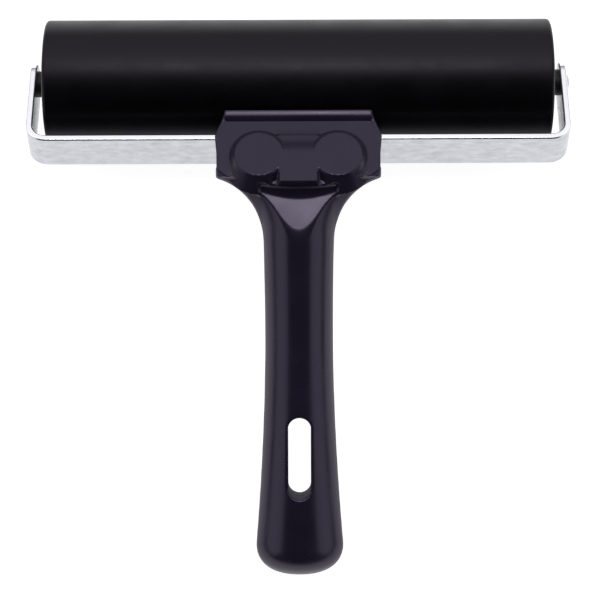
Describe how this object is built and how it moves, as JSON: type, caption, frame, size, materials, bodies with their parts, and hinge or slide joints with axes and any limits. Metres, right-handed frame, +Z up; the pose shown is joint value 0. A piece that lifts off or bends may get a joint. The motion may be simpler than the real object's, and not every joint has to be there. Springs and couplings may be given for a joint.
{
  "type": "rubber brayer",
  "caption": "Ink roller with a rubber-covered roller in a bent steel strip yoke and a bent two-shell plastic handle with a hanging slot.",
  "frame": {"origin": "on the surface the tool lies on, below the centre of its overall length and width", "axes": "+X along the roller's axle, +Y from the handle's end to the roller, +Z up from the surface that the roller and the handle's end rest on"},
  "size_m": [0.1622, 0.1651, 0.0455],
  "materials": {
    "rubber": "satin black roller rubber",
    "core_plastic": "matte dark grey tube",
    "plug_plastic": "matte black moulding",
    "axle_steel": "bright drawn steel",
    "zinc_strip": "bright zinc plate with faint spangle",
    "handle_plastic": "semi-gloss black, faintly violet",
    "screw_steel": "zinc-plated steel"
  },
  "bodies": {
    "frame": {"yoke_frame": "zinc_strip", "axle_rod": "axle_steel", "spacer_right": "plug_plastic", "spacer_left": "plug_plastic", "handle_front_shell": "handle_plastic", "handle_rear_shell": "handle_plastic", "handle_screw_right": "screw_steel", "handle_screw_left": "screw_steel"},
    "roller": {"rubber_sleeve": "rubber", "core_tube": "core_plastic", "end_plug_right": "plug_plastic", "end_plug_left": "plug_plastic"}
  },
  "joints": [
    {"name": "roller_spin", "type": "hinge", "parent": "frame", "child": "roller", "pos_m": [0, 0.06336, 0.019], "axis": [1, 0, 0], "continuous": true}
  ]
}
